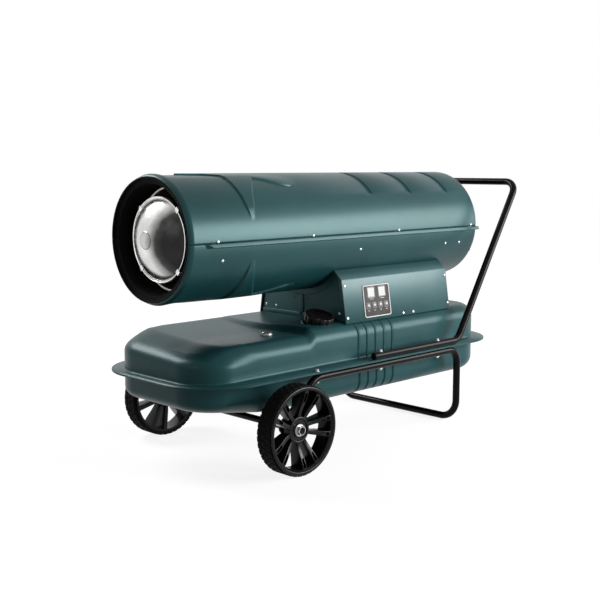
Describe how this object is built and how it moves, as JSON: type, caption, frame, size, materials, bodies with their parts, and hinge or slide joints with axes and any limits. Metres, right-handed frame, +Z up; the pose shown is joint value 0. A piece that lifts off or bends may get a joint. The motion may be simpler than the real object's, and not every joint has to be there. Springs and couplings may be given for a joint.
{
  "type": "forced-air oil heater",
  "caption": "Forced-air oil heater: a round barrel with a domed flame spreader over a pressed steel fuel tank, on a bent-tube frame with wheels and a push handle",
  "frame": {"origin": "on the floor, under the middle of the overall length and width", "axes": "+X runs along the barrel from the hot-air mouth to the push handle, -Y is the control side, +Z is up"},
  "size_m": [1.3954, 0.666, 0.814],
  "materials": {
    "teal_paint": "semi-gloss",
    "black_paint": "gloss",
    "heat_black": "matte",
    "stainless": "bright",
    "zinc": "zinc plated",
    "brass": "satin",
    "copper": "satin",
    "motor_grey": "satin",
    "rubber": "matte",
    "tyre_rubber": "matte",
    "black_plastic": "satin",
    "legend_film": "satin",
    "pale_plastic": "gloss",
    "clear_lens": "clear",
    "ceramic": "glazed",
    "board_green": "satin"
  },
  "bodies": {
    "chassis": {"casing_upper": "teal_paint", "casing_lower": "teal_paint", "outlet_collar": "heat_black", "combustion_chamber": "stainless", "chamber_brace_front": "zinc", "chamber_brace_rear": "zinc", "heat_spreader": "stainless", "spreader_holder": "stainless", "blast_tube": "zinc", "flame_disc": "stainless", "burner_carrier": "zinc", "fuel_nozzle": "brass", "electrode_near": "ceramic", "electrode_far": "ceramic", "nozzle_pipe": "copper", "fuel_pump": "motor_grey", "fan_motor": "motor_grey", "motor_mount": "zinc", "intake_grille": "black_paint", "housing_front_panel": "teal_paint", "housing_rear_panel": "teal_paint", "housing_floor": "zinc", "housing_far_cover": "teal_paint", "control_cover": "teal_paint", "ignition_transformer": "motor_grey", "power_inlet": "black_plastic", "display_plate": "legend_film", "circuit_board": "board_green", "display_1": "pale_plastic", "display_2": "pale_plastic", "tank_upper": "teal_paint", "tank_lower": "teal_paint", "filler_neck": "zinc", "gauge_body": "zinc", "gauge_lens": "clear_lens", "drain_plug": "zinc", "suction_pipe": "copper", "leg_frame": "black_paint", "handle": "black_paint", "handle_plug_near": "black_plastic", "handle_plug_far": "black_plastic", "axle": "black_paint", "axle_bracket_near": "black_paint", "axle_bracket_far": "black_paint", "wheel_nut_near": "zinc", "wheel_nut_far": "zinc"},
    "wheel_near": {"wheel_rim_near": "black_plastic", "wheel_tyre_near": "tyre_rubber"},
    "wheel_far": {"wheel_rim_far": "black_plastic", "wheel_tyre_far": "tyre_rubber"},
    "rotor": {"fan": "zinc", "motor_shaft": "zinc"},
    "cap": {"cap_core": "rubber"},
    "cap_hand_grip": {"cap_grip": "black_plastic"},
    "float": {"float_arm": "brass"},
    "needle": {"gauge_needle": "black_paint"},
    "key_1": {"button_1": "pale_plastic"},
    "key_2": {"button_2": "pale_plastic"},
    "key_3": {"button_3": "pale_plastic"},
    "key_4": {"button_4": "pale_plastic"}
  },
  "joints": [
    {"name": "wheel_spin_near", "type": "hinge", "parent": "chassis", "child": "wheel_near", "pos_m": [-0.40767, -0.3055, 0.125], "axis": [0, 1, 0], "continuous": true},
    {"name": "wheel_spin_far", "type": "hinge", "parent": "chassis", "child": "wheel_far", "pos_m": [-0.40767, 0.3055, 0.125], "axis": [0, 1, 0], "continuous": true},
    {"name": "fan_spin", "type": "hinge", "parent": "chassis", "child": "rotor", "pos_m": [0.45, 0, 0.636], "axis": [1, 0, 0], "continuous": true},
    {"name": "cap_lift", "type": "slide", "parent": "chassis", "child": "cap", "axis": [0, -0.309, 0.9511], "range_m": [0, 0.04]},
    {"name": "cap_turn", "type": "hinge", "parent": "cap", "child": "cap_hand_grip", "pos_m": [-0.15267, -0.131, 0.371], "axis": [0, -0.309, 0.9511], "range_deg": [-90, 90]},
    {"name": "float_swing", "type": "hinge", "parent": "chassis", "child": "float", "pos_m": [-0.33967, -0.107, 0.3123], "axis": [0, 1, 0], "range_deg": [-55, 0]},
    {"name": "needle_turn", "type": "hinge", "parent": "chassis", "child": "needle", "pos_m": [-0.33967, -0.107, 0.35], "axis": [0, 0, 1], "range_deg": [-90, 2]},
    {"name": "press_1", "type": "slide", "parent": "chassis", "child": "key_1", "axis": [0, 0.9883, -0.1523], "range_m": [0, 0.0008], "stiffness_N_per_m": 400},
    {"name": "press_2", "type": "slide", "parent": "chassis", "child": "key_2", "axis": [0, 0.9883, -0.1523], "range_m": [0, 0.0008], "stiffness_N_per_m": 400},
    {"name": "press_3", "type": "slide", "parent": "chassis", "child": "key_3", "axis": [0, 0.9883, -0.1523], "range_m": [0, 0.0008], "stiffness_N_per_m": 400},
    {"name": "press_4", "type": "slide", "parent": "chassis", "child": "key_4", "axis": [0, 0.9883, -0.1523], "range_m": [0, 0.0008], "stiffness_N_per_m": 400}
  ],
  "couplings": [
    {"joint": "needle_turn", "follows": "float_swing", "ratio": 1.6}
  ]
}
